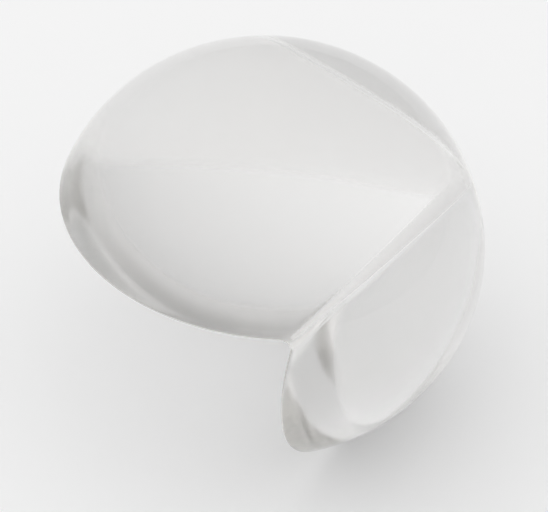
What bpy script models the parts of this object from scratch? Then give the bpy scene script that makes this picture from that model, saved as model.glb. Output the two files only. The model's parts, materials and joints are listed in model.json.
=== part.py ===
# Clear corner protector: one moulded piece of soft clear plastic.
#
# It is a slightly flattened ball with a square corner cut out of it. The cut-out has
# three flat faces at right angles, which seat on the top and the two sides of a square
# corner, and it leaves three rounded lobes: one above and one at each side.
#
# Z is up. The upper flat face lies in the plane Z = 0, and the origin is on it, on
# the ball's upright axis. The two side faces look along -X and +Y.

import bmesh
import bpy

# Sizes of the ball, in metres
BALL_RADIUS = 0.0217
BALL_HALF_HEIGHT = 0.0203

# Thickness of the lobes, from a flat face out to the ball's surface
TOP_THICKNESS = 0.0145
SIDE_THICKNESS = 0.0093

# Round along the edges inside the cut-out
INNER_EDGE_ROUND = 0.0011
INNER_EDGE_STEPS = 6

# How far the cutter stands out of the ball, so that it cuts right through
CUTTER_OVERRUN = 0.004

# Faces round the ball and from pole to pole
BALL_SEGMENTS = 80
BALL_RINGS = 40

# Clear soft plastic
PLASTIC_COLOUR = (0.93, 0.935, 0.93, 1.0)
PLASTIC_ROUGHNESS = 0.06
PLASTIC_REFRACTION = 1.4
PLASTIC_ALPHA_IN_VIEWPORT = 0.4


def clear_scene():
    for old in list(bpy.data.objects):
        bpy.data.objects.remove(old)


def clear_plastic():
    material = bpy.data.materials.new("clear_plastic")
    material.use_nodes = True
    material.diffuse_color = (*PLASTIC_COLOUR[:3], PLASTIC_ALPHA_IN_VIEWPORT)
    shader = material.node_tree.nodes["Principled BSDF"]
    shader.inputs["Base Color"].default_value = PLASTIC_COLOUR
    shader.inputs["Roughness"].default_value = PLASTIC_ROUGHNESS
    shader.inputs["Metallic"].default_value = 0.0
    shader.inputs["IOR"].default_value = PLASTIC_REFRACTION
    shader.inputs["Transmission Weight"].default_value = 1.0
    return material


def new_object(name, form):
    mesh = bpy.data.meshes.new(name)
    form.to_mesh(mesh)
    form.free()
    mesh.shade_smooth()
    piece = bpy.data.objects.new(name, mesh)
    bpy.context.collection.objects.link(piece)
    return piece


def flattened_ball(name):
    """The whole ball, centred under the upper flat face."""
    form = bmesh.new()
    bmesh.ops.create_uvsphere(form, u_segments=BALL_SEGMENTS, v_segments=BALL_RINGS, radius=1.0)
    bmesh.ops.scale(form, vec=(BALL_RADIUS, BALL_RADIUS, BALL_HALF_HEIGHT), verts=form.verts)
    ball = new_object(name, form)
    ball.location.z = TOP_THICKNESS - BALL_HALF_HEIGHT
    return ball


def corner_cutter():
    """The square corner that the guard fits, with its edges rounded. It reaches past the
    ball at -X, +Y and -Z, and its own corner lies inside the ball."""
    side_face = BALL_RADIUS - SIDE_THICKNESS
    far_side = BALL_RADIUS + CUTTER_OVERRUN
    bottom = TOP_THICKNESS - 2 * BALL_HALF_HEIGHT - CUTTER_OVERRUN
    low = (-far_side, -side_face, bottom)
    high = (side_face, far_side, 0.0)
    form = bmesh.new()
    bmesh.ops.create_cube(form, size=1.0)
    for vertex in form.verts:
        vertex.co = [high[axis] if vertex.co[axis] > 0 else low[axis] for axis in range(3)]
    cutter = new_object("corner_cutter", form)
    cutter.data.set_sharp_from_angle(angle=0.5)
    cutter.hide_render = True
    cutter.display_type = "WIRE"
    rounding = cutter.modifiers.new("edge_round", "BEVEL")
    rounding.width = INNER_EDGE_ROUND
    rounding.segments = INNER_EDGE_STEPS
    rounding.limit_method = "NONE"
    return cutter


clear_scene()
guard = flattened_ball("corner_guard")
guard.data.materials.append(clear_plastic())
recess = guard.modifiers.new("recess", "BOOLEAN")
recess.operation = "DIFFERENCE"
recess.object = corner_cutter()
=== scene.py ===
# Clear corner protector, on a plain pale floor. Lengths are in metres.

import json
import math

import bpy
from mathutils import Matrix, Vector


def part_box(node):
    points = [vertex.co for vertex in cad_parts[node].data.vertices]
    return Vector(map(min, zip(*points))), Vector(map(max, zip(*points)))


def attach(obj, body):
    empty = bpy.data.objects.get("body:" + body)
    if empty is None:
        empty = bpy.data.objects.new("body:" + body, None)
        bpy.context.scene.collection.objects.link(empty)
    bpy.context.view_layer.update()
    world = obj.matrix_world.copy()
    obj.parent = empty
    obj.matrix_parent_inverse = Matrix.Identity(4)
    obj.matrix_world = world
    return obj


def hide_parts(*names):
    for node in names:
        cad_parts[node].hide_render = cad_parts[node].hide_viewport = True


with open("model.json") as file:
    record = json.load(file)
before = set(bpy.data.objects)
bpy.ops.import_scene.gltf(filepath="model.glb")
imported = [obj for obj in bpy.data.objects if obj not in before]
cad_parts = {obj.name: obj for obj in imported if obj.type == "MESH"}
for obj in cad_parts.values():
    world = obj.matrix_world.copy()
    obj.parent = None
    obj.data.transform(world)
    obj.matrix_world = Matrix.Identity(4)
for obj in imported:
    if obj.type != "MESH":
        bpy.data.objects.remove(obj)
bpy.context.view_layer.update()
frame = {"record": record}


# The guard
# One moulding of clear soft plastic: a slightly flattened ball with a square corner
# cut out of it. The mould rounds the edges inside the cut-out and the rims of the three
# lobes. It seats by the three flat faces of the cut-out.

guard_low, guard_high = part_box("corner_guard")
face_places = {face["name"]: Vector(face["pos_m"]) for face in frame["record"]["mounts"]}
ball_radius = guard_high.x
top_thickness = guard_high.z
side_face = face_places["side_face"].x
# The side lobes hang lowest at their flat faces, where the ball is this share of its
# half height below its middle
share_below_middle = math.sqrt(1 - (side_face / ball_radius) ** 2)
ball_half_height = (top_thickness - guard_low.z) / (1 + share_below_middle)

guard_sizes = {
    "Ball Radius": ball_radius,
    "Ball Half Height": ball_half_height,
    "Top Thickness": top_thickness,
    "Side Face": side_face,
    "Inner Edge Round": 0.0011,
    "Rim Round": 0.0006,
}
guard_counts = {
    "Columns": 264,
    "Inner Rows": 60,
    "Rim Rows": 10,
    "Outer Rows": 90,
}
COLUMN_CROWDING = 0.7
ROW_CROWDING = 1.3
RIM_SEARCH_STEPS = 5
MERGE_DISTANCE = 1e-7


def feed(tree, socket, value):
    """Links a socket to another one, or sets it to a number or a vector."""
    if isinstance(value, bpy.types.NodeSocket):
        tree.links.new(value, socket)
    else:
        socket.default_value = value


def number(tree, operation, *values):
    """The result of one Math node."""
    node = tree.nodes.new("ShaderNodeMath")
    node.operation = operation
    for socket, value in zip(node.inputs, values):
        feed(tree, socket, value)
    return node.outputs["Value"]


def vector(tree, operation, *values):
    """The result of one Vector Math node."""
    node = tree.nodes.new("ShaderNodeVectorMath")
    node.operation = operation
    if operation == "SCALE":
        feed(tree, node.inputs["Vector"], values[0])
        feed(tree, node.inputs["Scale"], values[1])
    else:
        for socket, value in zip(node.inputs, values):
            feed(tree, socket, value)
    return node.outputs["Value" if operation == "DOT_PRODUCT" else "Vector"]


def combine(tree, *values):
    """A vector made of three numbers."""
    node = tree.nodes.new("ShaderNodeCombineXYZ")
    for socket, value in zip(node.inputs, values):
        feed(tree, socket, value)
    return node.outputs["Vector"]


def choose(tree, condition, if_false, if_true):
    """One of two vectors."""
    node = tree.nodes.new("GeometryNodeSwitch")
    node.input_type = "VECTOR"
    feed(tree, node.inputs["Switch"], condition)
    feed(tree, node.inputs["False"], if_false)
    feed(tree, node.inputs["True"], if_true)
    return node.outputs["Output"]


def mix(tree, share, first, second):
    """The vector that lies a share of the way from the first to the second."""
    there = vector(tree, "SUBTRACT", second, first)
    return vector(tree, "ADD", first, vector(tree, "SCALE", there, share))


def guard_tree():
    """Sweeps a sheet from the corner of the cut-out, along its faces, over the rims and
    round the ball, and closes it where it meets itself."""
    tree = bpy.data.node_groups.new("guard", "GeometryNodeTree")
    sides = tree.interface
    for name in guard_sizes:
        sides.new_socket(name, in_out="INPUT", socket_type="NodeSocketFloat")
    for name in guard_counts:
        sides.new_socket(name, in_out="INPUT", socket_type="NodeSocketInt")
    sides.new_socket("Plastic", in_out="INPUT", socket_type="NodeSocketMaterial")
    sides.new_socket("Geometry", in_out="OUTPUT", socket_type="NodeSocketGeometry")
    given = tree.nodes.new("NodeGroupInput").outputs
    radius = given["Ball Radius"]
    half_height = given["Ball Half Height"]
    edge_round = given["Inner Edge Round"]
    rim_round = given["Rim Round"]

    # The sheet: columns go round the corner of the cut-out, rows lead away from it
    rows = number(tree, "ADD", given["Inner Rows"], given["Rim Rows"])
    rows = number(tree, "ADD", rows, given["Outer Rows"])
    sheet = tree.nodes.new("GeometryNodeMeshGrid")
    sheet.inputs["Size X"].default_value = 1.0
    sheet.inputs["Size Y"].default_value = 1.0
    feed(tree, sheet.inputs["Vertices X"], number(tree, "ADD", given["Columns"], 1))
    feed(tree, sheet.inputs["Vertices Y"], number(tree, "ADD", rows, 1))
    place = tree.nodes.new("GeometryNodeInputPosition")
    apart = tree.nodes.new("ShaderNodeSeparateXYZ")
    feed(tree, apart.inputs["Vector"], place.outputs["Position"])
    turn = number(tree, "MULTIPLY_ADD", apart.outputs["X"], 3.0, 1.5)
    row = number(tree, "MULTIPLY", number(tree, "ADD", apart.outputs["Y"], 0.5), rows)

    # Columns crowd at the three inner edges, which are at whole turns
    crowding = number(tree, "SINE", number(tree, "MULTIPLY", turn, 2 * math.pi))
    turn = number(tree, "MULTIPLY_ADD", crowding, -COLUMN_CROWDING / (2 * math.pi), turn)
    weights = []
    for edge in range(3):
        away = number(tree, "WRAP", number(tree, "SUBTRACT", turn, edge), 1.5, -1.5)
        away = number(tree, "MINIMUM", number(tree, "ABSOLUTE", away), 1.0)
        weight = number(tree, "COSINE", number(tree, "MULTIPLY", away, math.pi / 2))
        weights.append(number(tree, "MAXIMUM", weight, 0.0))
    heading = combine(tree, *weights)

    # The cut-out opens from its corner towards -X, +Y and -Z
    opening = (-1.0, 1.0, -1.0)
    corner = combine(tree, given["Side Face"], number(tree, "MULTIPLY", given["Side Face"], -1), 0)
    centre = combine(tree, 0, 0, number(tree, "SUBTRACT", given["Top Thickness"], half_height))
    radii = combine(tree, radius, radius, half_height)
    rounds = combine(tree, edge_round, edge_round, edge_round)
    course = vector(tree, "MULTIPLY", heading, opening)

    def inner_face(distance):
        """A point on the faces and rounded edges of the cut-out."""
        sharp = vector(tree, "SCALE", heading, distance)
        base = vector(tree, "MAXIMUM", sharp, rounds)
        towards = vector(tree, "NORMALIZE", vector(tree, "SUBTRACT", base, sharp))
        soft = vector(tree, "SUBTRACT", base, vector(tree, "SCALE", towards, edge_round))
        return vector(tree, "ADD", corner, vector(tree, "MULTIPLY", soft, opening))

    # The rim is where a column leaves the ball, found in a few steps
    course_on_ball = vector(tree, "DIVIDE", course, radii)
    course_square = vector(tree, "DOT_PRODUCT", course_on_ball, course_on_ball)
    rim_distance = radius
    for _ in range(RIM_SEARCH_STEPS):
        gone = vector(tree, "SCALE", course, rim_distance)
        start = vector(tree, "SUBTRACT", inner_face(rim_distance), gone)
        start = vector(tree, "DIVIDE", vector(tree, "SUBTRACT", start, centre), radii)
        across = vector(tree, "DOT_PRODUCT", start, course_on_ball)
        inside = number(tree, "SUBTRACT", vector(tree, "DOT_PRODUCT", start, start), 1.0)
        under_root = number(tree, "SUBTRACT", number(tree, "MULTIPLY", across, across),
                            number(tree, "MULTIPLY", course_square, inside))
        far = number(tree, "SUBTRACT", number(tree, "SQRT", under_root), across)
        rim_distance = number(tree, "DIVIDE", far, course_square)
    rim = inner_face(rim_distance)

    # Rows inside the cut-out, closer together at its corner
    inner_end = number(tree, "SUBTRACT", rim_distance, rim_round)
    inner_share = number(tree, "DIVIDE", row, given["Inner Rows"])
    inner_share = number(tree, "POWER", number(tree, "MINIMUM", inner_share, 1.0), ROW_CROWDING)
    inner = inner_face(number(tree, "MULTIPLY", inner_end, inner_share))
    inner_last = inner_face(inner_end)

    # Rows on the ball, from the rim to the point opposite the corner
    on_ball = vector(tree, "DIVIDE", vector(tree, "SUBTRACT", rim, centre), radii)
    top_of_ball = tuple(-part / math.sqrt(3) for part in opening)
    arc = number(tree, "ARCCOSINE", vector(tree, "DOT_PRODUCT", on_ball, top_of_ball))
    arc_sine = number(tree, "SINE", arc)
    first_share = number(tree, "DIVIDE", rim_round, number(tree, "MULTIPLY", radius, arc))

    def outer_face(share):
        """A point on the ball, a share of the way along its column's arc."""
        angle = number(tree, "MULTIPLY", arc, share)
        left = number(tree, "SUBTRACT", arc, angle)
        from_rim = number(tree, "DIVIDE", number(tree, "SINE", left), arc_sine)
        from_top = number(tree, "DIVIDE", number(tree, "SINE", angle), arc_sine)
        direction = vector(tree, "ADD", vector(tree, "SCALE", on_ball, from_rim),
                           vector(tree, "SCALE", combine(tree, *top_of_ball), from_top))
        return vector(tree, "ADD", centre, vector(tree, "MULTIPLY", direction, radii))

    outer_row = number(tree, "SUBTRACT", rows, given["Outer Rows"])
    outer_share = number(tree, "DIVIDE", number(tree, "SUBTRACT", row, outer_row), given["Outer Rows"])
    outer_share = number(tree, "MAXIMUM", outer_share, 0.0)
    outer_left = number(tree, "SUBTRACT", 1.0, first_share)
    outer = outer_face(number(tree, "MULTIPLY_ADD", outer_share, outer_left, first_share))
    outer_first = outer_face(first_share)

    # Rows over the rim, along a curve that keeps inside the sharp corner
    rim_share = number(tree, "SUBTRACT", row, given["Inner Rows"])
    rim_share = number(tree, "DIVIDE", rim_share, given["Rim Rows"])
    over_rim = mix(tree, rim_share, mix(tree, rim_share, inner_last, rim),
                   mix(tree, rim_share, rim, outer_first))

    past_inner = number(tree, "GREATER_THAN", row, number(tree, "ADD", given["Inner Rows"], 0.5))
    past_rim = number(tree, "GREATER_THAN", row, number(tree, "ADD", outer_row, 0.5))
    shape = choose(tree, past_inner, inner, choose(tree, past_rim, over_rim, outer))
    moved = tree.nodes.new("GeometryNodeSetPosition")
    feed(tree, moved.inputs["Geometry"], sheet.outputs["Mesh"])
    feed(tree, moved.inputs["Position"], shape)

    # The sheet's faces turn outwards, and its side edges and two ends close on themselves
    turned = tree.nodes.new("GeometryNodeFlipFaces")
    feed(tree, turned.inputs["Mesh"], moved.outputs["Geometry"])
    closed = tree.nodes.new("GeometryNodeMergeByDistance")
    closed.inputs["Distance"].default_value = MERGE_DISTANCE
    smooth = tree.nodes.new("GeometryNodeSetShadeSmooth")
    real = tree.nodes.new("GeometryNodeRealizeInstances")
    painted = tree.nodes.new("GeometryNodeSetMaterial")
    feed(tree, painted.inputs["Material"], given["Plastic"])
    out = tree.nodes.new("NodeGroupOutput")
    steps = [turned, closed, smooth, real, painted, out]
    for step, following in zip(steps, steps[1:]):
        feed(tree, following.inputs["Geometry"], step.outputs[0])
    return tree


SKIN_GREY = 0.94
STREAK_BLUE = 0.93
SHINIEST = 0.06
DULLEST = 0.1


def noise(tree, place, scale, detail):
    """Soft random values from 0 to 1 over the plastic, scale of them to a metre."""
    node = tree.nodes.new("ShaderNodeTexNoise")
    node.inputs["Scale"].default_value = scale
    node.inputs["Detail"].default_value = detail
    feed(tree, node.inputs["Vector"], place)
    return node.outputs["Fac"]


def spread(tree, value, low, high):
    """Random values stretched to run from the low number to the high one."""
    node = tree.nodes.new("ShaderNodeMapRange")
    node.inputs["From Min"].default_value = 0.3
    node.inputs["From Max"].default_value = 0.7
    node.inputs["To Min"].default_value = low
    node.inputs["To Max"].default_value = high
    feed(tree, node.inputs["Value"], value)
    return node.outputs["Result"]


def clear_plastic():
    """Clear soft plastic, faintly grey, and more so where it is thick. The mould leaves its
    skin glossy, with slow waves where it shrank and patches that are a little duller."""
    material = bpy.data.materials.new("moulded_clear_plastic")
    material.use_nodes = True
    tree = material.node_tree
    shader = tree.nodes["Principled BSDF"]
    shader.inputs["IOR"].default_value = 1.4
    shader.inputs["Transmission Weight"].default_value = 1.0
    place = tree.nodes.new("ShaderNodeTexCoord").outputs["Object"]

    # Streaks where the melt flowed into the mould are a trace warmer
    squashed = vector(tree, "MULTIPLY", place, (1.0, 1.0, 3.0))
    streaks = noise(tree, squashed, scale=70, detail=3)
    blue = spread(tree, streaks, low=STREAK_BLUE, high=SKIN_GREY)
    tint = tree.nodes.new("ShaderNodeCombineColor")
    feed(tree, tint.inputs["Red"], SKIN_GREY)
    feed(tree, tint.inputs["Green"], number(tree, "MULTIPLY_ADD", blue, 0.5, SKIN_GREY / 2))
    feed(tree, tint.inputs["Blue"], blue)
    feed(tree, shader.inputs["Base Color"], tint.outputs["Color"])

    # Polish of the skin, from broad patches and fine ones
    patches = noise(tree, place, scale=160, detail=4)
    specks = noise(tree, place, scale=1500, detail=3)
    dull = number(tree, "MULTIPLY", number(tree, "ADD", patches, specks), 0.5)
    feed(tree, shader.inputs["Roughness"], spread(tree, dull, low=SHINIEST, high=DULLEST))

    # Waves and fine grain of the skin
    waves = tree.nodes.new("ShaderNodeBump")
    waves.inputs["Strength"].default_value = 0.2
    waves.inputs["Distance"].default_value = 0.00004
    feed(tree, waves.inputs["Height"], noise(tree, place, scale=100, detail=1))
    grain = tree.nodes.new("ShaderNodeBump")
    grain.inputs["Strength"].default_value = 0.08
    grain.inputs["Distance"].default_value = 0.000005
    feed(tree, grain.inputs["Height"], noise(tree, place, scale=2500, detail=3))
    feed(tree, grain.inputs["Normal"], waves.outputs["Normal"])
    feed(tree, shader.inputs["Normal"], grain.outputs["Normal"])

    # The body takes a little light, blue most
    body = tree.nodes.new("ShaderNodeVolumeAbsorption")
    body.inputs["Color"].default_value = (0.3, 0.28, 0.22, 1)
    body.inputs["Density"].default_value = 3.5
    feed(tree, tree.nodes["Material Output"].inputs["Volume"], body.outputs["Volume"])
    return material


guard = bpy.data.objects.new("guard", bpy.data.meshes.new("guard"))
bpy.context.collection.objects.link(guard)
making = guard.modifiers.new("making", "NODES")
making.node_group = guard_tree()
guard_settings = {**guard_sizes, **guard_counts, "Plastic": clear_plastic()}
for socket in making.node_group.interface.items_tree:
    if socket.in_out == "INPUT":
        making[socket.identifier] = guard_settings[socket.name]
bpy.context.view_layer.update()
finished = guard.evaluated_get(bpy.context.evaluated_depsgraph_get())
guard.data = bpy.data.meshes.new_from_object(finished)
guard.data.materials.pop(index=0)
guard.modifiers.clear()
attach(guard, "root")
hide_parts("corner_guard")


# The floor
# A plain pale board, matt, just under the lowest points of the guard.

FLOOR_HALF_WIDTH = 3.0
FLOOR_GAP = 0.0001

floor_mesh = bpy.data.meshes.new("floor")
floor_corners = [
    (x * FLOOR_HALF_WIDTH, y * FLOOR_HALF_WIDTH, guard_low.z - FLOOR_GAP)
    for x, y in ((-1, -1), (1, -1), (1, 1), (-1, 1))
]
floor_mesh.from_pydata(floor_corners, [], [(0, 1, 2, 3)])
floor = bpy.data.objects.new("floor", floor_mesh)
bpy.context.collection.objects.link(floor)
paint = bpy.data.materials.new("floor_paint")
paint.use_nodes = True
paint_shader = paint.node_tree.nodes["Principled BSDF"]
paint_shader.inputs["Base Color"].default_value = (0.95, 0.95, 0.95, 1)
paint_shader.inputs["Roughness"].default_value = 0.9
floor_mesh.materials.append(paint)


# The light
# A pale room with one wide soft light high up on the picture's left, which fades out into
# the walls without an edge, and a large weak lamp in the middle of it.

LIGHT_FROM = Vector((-0.25, 0.45, 0.75)).normalized()
DIM_SIDE = 0.69
BRIGHT_SIDE = 1.03
LAMP_DISTANCE = 1.0
LAMP_SIZE = 1.6
LAMP_POWER = 0.6
LIGHT_BOUNCES = 48

room = bpy.data.worlds.new("room")
bpy.context.scene.world = room
room.use_nodes = True
room_light = room.node_tree.nodes["Background"]
toward = room.node_tree.nodes.new("ShaderNodeTexCoord").outputs["Generated"]
wide_light = room.node_tree.nodes.new("ShaderNodeMapRange")
wide_light.interpolation_type = "SMOOTHERSTEP"
wide_light.inputs["From Min"].default_value = -0.3
wide_light.inputs["From Max"].default_value = 1.0
wide_light.inputs["To Min"].default_value = DIM_SIDE
wide_light.inputs["To Max"].default_value = BRIGHT_SIDE
towards_light = vector(room.node_tree, "DOT_PRODUCT", toward, LIGHT_FROM)
feed(room.node_tree, wide_light.inputs["Value"], towards_light)
feed(room.node_tree, room_light.inputs["Color"], wide_light.outputs["Result"])
room_light.inputs["Strength"].default_value = 1.0

lamp_light = bpy.data.lights.new("lamp", "AREA")
lamp_light.shape = "DISK"
lamp_light.size = LAMP_SIZE
lamp_light.energy = LAMP_POWER
lamp = bpy.data.objects.new("lamp", lamp_light)
bpy.context.collection.objects.link(lamp)
lamp.location = LIGHT_FROM * LAMP_DISTANCE
lamp.rotation_euler = LIGHT_FROM.to_track_quat("Z", "Y").to_euler()

# Light that runs along inside the thick lobes turns many times before it comes out
scene = bpy.context.scene
scene.view_settings.view_transform = "Standard"
scene.cycles.max_bounces = LIGHT_BOUNCES
scene.cycles.glossy_bounces = LIGHT_BOUNCES
scene.cycles.transmission_bounces = LIGHT_BOUNCES


# The camera
# It looks down at the upper lobe and at one side lobe, a little tilted, so that the
# corner of the cut-out comes to its place in the picture.

PICTURE_WIDTH = 548
PICTURE_HEIGHT = 512
CORNER_PIXEL = (441.25, 183.9)
PIXEL_AT_CORNER = 0.0001
PIXELS_TO_CORNER = 2000
SENSOR_WIDTH = 36.0
camera_azimuth = math.radians(-62.2)
camera_elevation = math.radians(39.7)
camera_roll = math.radians(5.8)

forward = Vector((-math.sin(camera_azimuth) * math.cos(camera_elevation),
                  math.cos(camera_azimuth) * math.cos(camera_elevation),
                  -math.sin(camera_elevation)))
level_right = Vector((math.cos(camera_azimuth), math.sin(camera_azimuth), 0))
level_up = level_right.cross(forward)
right = level_right * math.cos(camera_roll) + level_up * math.sin(camera_roll)
up = level_up * math.cos(camera_roll) - level_right * math.sin(camera_roll)
corner_point = Vector((side_face, -side_face, 0))
corner_offset = (right * (CORNER_PIXEL[0] - PICTURE_WIDTH / 2)
                 + up * (PICTURE_HEIGHT / 2 - CORNER_PIXEL[1])
                 + forward * PIXELS_TO_CORNER)
camera_place = corner_point - corner_offset * PIXEL_AT_CORNER

camera_data = bpy.data.cameras.new("camera")
camera_data.sensor_width = SENSOR_WIDTH
camera_data.lens = SENSOR_WIDTH * PIXELS_TO_CORNER / PICTURE_WIDTH
camera_data.clip_start = 0.001
camera = bpy.data.objects.new("camera", camera_data)
bpy.context.collection.objects.link(camera)
camera_turn = Matrix((right, up, -forward)).transposed().to_4x4()
camera.matrix_world = Matrix.Translation(camera_place) @ camera_turn
scene.camera = camera
